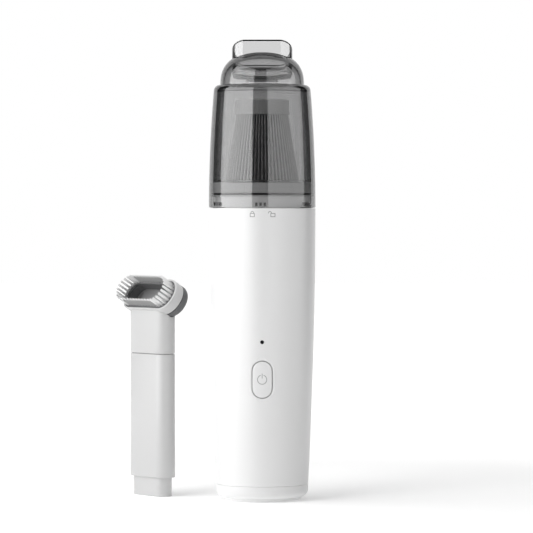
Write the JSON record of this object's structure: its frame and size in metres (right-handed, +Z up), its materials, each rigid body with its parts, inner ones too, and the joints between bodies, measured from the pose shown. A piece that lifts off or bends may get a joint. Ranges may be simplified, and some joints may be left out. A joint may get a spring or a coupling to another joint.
{
  "type": "handheld vacuum cleaner",
  "caption": "Slim upright handheld vacuum cleaner with a clear dust cup, slanted flat mouth and cone filter, and a separate brush tool on a flat extension tube.",
  "frame": {"origin": "middle of the foot pad's underside, on the cleaner's axis, on the surface it stands on", "axes": "+Z up along the cleaner's axis, -Y towards the side with the power button, the brush tool stands at -X"},
  "size_m": [0.1323, 0.0913, 0.2985],
  "materials": {
    "white_plastic": "satin white moulding",
    "pad_rubber": "matt pale grey",
    "smoked_plastic": "polished, smoked clear",
    "clear_plastic": "polished, lightly tinted clear",
    "tool_plastic": "satin light grey",
    "dark_plastic": "satin dark grey",
    "inner_plastic": "matt charcoal",
    "black_rubber": "matt black",
    "filter_paper": "pleated paper",
    "filter_frame": "satin mid grey",
    "bristle_nylon": "white strands",
    "foam": "open black foam",
    "board": "green circuit board",
    "cell_wrap": "blue shrink wrap",
    "lens": "dark polished",
    "steel": "zinc plated",
    "motor_case": "plain metal"
  },
  "bodies": {
    "body": {"foot_pad": "pad_rubber", "bottom_cap": "white_plastic", "body_shell": "white_plastic", "led_light_pipe": "lens", "neck_collar": "white_plastic", "neck_seal": "black_rubber", "fan_gasket": "foam", "fan_cover": "inner_plastic", "fan_housing": "inner_plastic", "motor_can": "motor_case", "motor_damper_top": "black_rubber", "motor_damper_bottom": "black_rubber", "chassis_front": "inner_plastic", "chassis_rear": "inner_plastic", "chassis_screw_1": "steel", "chassis_screw_2": "steel", "chassis_screw_3": "steel", "chassis_screw_4": "steel", "cap_screw_front": "steel", "cap_screw_rear": "steel", "battery_cell_left": "cell_wrap", "battery_cell_right": "cell_wrap", "battery_strip": "steel", "control_board": "board", "button_switch": "inner_plastic", "charge_socket": "steel", "charge_board": "board", "exhaust_foam": "foam"},
    "button": {"power_button": "white_plastic"},
    "rotor": {"fan_impeller": "dark_plastic", "motor_shaft": "steel"},
    "filter_unit": {"filter_base_ring": "filter_frame", "filter_media": "filter_paper", "filter_top_cap": "filter_frame"},
    "dust_cup": {"dust_cup_shell": "smoked_plastic", "dust_cup_liner": "smoked_plastic", "intake_nozzle": "clear_plastic", "flap_pin": "steel"},
    "flap": {"dust_flap": "black_rubber"},
    "tool": {"extension_tube": "tool_plastic"},
    "brush_head": {"brush_neck": "tool_plastic", "brush_bowl": "dark_plastic", "bristles_upper": "bristle_nylon", "bristles_lower": "bristle_nylon", "bristles_left": "bristle_nylon", "bristles_right": "bristle_nylon"}
  },
  "joints": [
    {"name": "button_press", "type": "slide", "parent": "body", "child": "button", "axis": [0, 1, 0], "range_m": [0, 0.0006], "stiffness_N_per_m": 800, "springref_m": -0.001},
    {"name": "fan_spin", "type": "hinge", "parent": "body", "child": "rotor", "pos_m": [0, 0, 0.175], "axis": [0, 0, 1], "continuous": true},
    {"name": "cup_lift", "type": "slide", "parent": "body", "child": "filter_unit", "axis": [0, 0, 1], "range_m": [0, 0.04]},
    {"name": "cup_twist", "type": "hinge", "parent": "filter_unit", "child": "dust_cup", "pos_m": [0, 0, 0.1897], "axis": [0, 0, 1], "range_deg": [-10.5, 10.5]},
    {"name": "flap_swing", "type": "hinge", "parent": "dust_cup", "child": "flap", "pos_m": [0, 0.0098, 0.27324], "axis": [1, 0, 0], "range_deg": [0, 35], "stiffness_Nm_per_rad": 0.004, "springref_deg": -11.46},
    {"name": "tool_lift", "type": "slide", "parent": "body", "child": "tool", "axis": [0, 0, 1], "range_m": [0, 0.15]},
    {"name": "brush_pull", "type": "slide", "parent": "tool", "child": "brush_head", "axis": [0, 0, 1], "range_m": [0, 0.03]}
  ]
}
